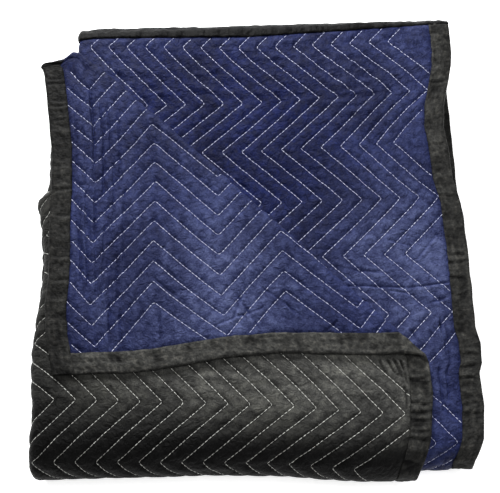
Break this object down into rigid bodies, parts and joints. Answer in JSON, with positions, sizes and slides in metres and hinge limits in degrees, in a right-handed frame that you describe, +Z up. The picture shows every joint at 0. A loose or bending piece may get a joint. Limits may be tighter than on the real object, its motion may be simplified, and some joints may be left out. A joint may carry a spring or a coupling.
{
  "type": "moving blanket",
  "caption": "Folded quilted moving blanket, navy on one face and black on the other, bound with black tape, one corner turned back.",
  "frame": {"origin": "centre of the bounding box in plan, on the surface that the folded bundle rests on", "axes": "+Z up from the surface, +X to the right along the front roll, +Y to the back, from the roll to the open edges"},
  "size_m": [0.4888, 0.5464, 0.0872],
  "materials": {
    "shell": "matte non-woven cloth, navy on one face and black on the other",
    "tape": "matte crinkled black tape with a slight sheen"
  },
  "bodies": {
    "root": {"quilted_cloth": "shell", "binding_back": "tape", "binding_front": "tape", "binding_second_ply": "tape", "binding_top_ply": "tape"}
  },
  "joints": []
}
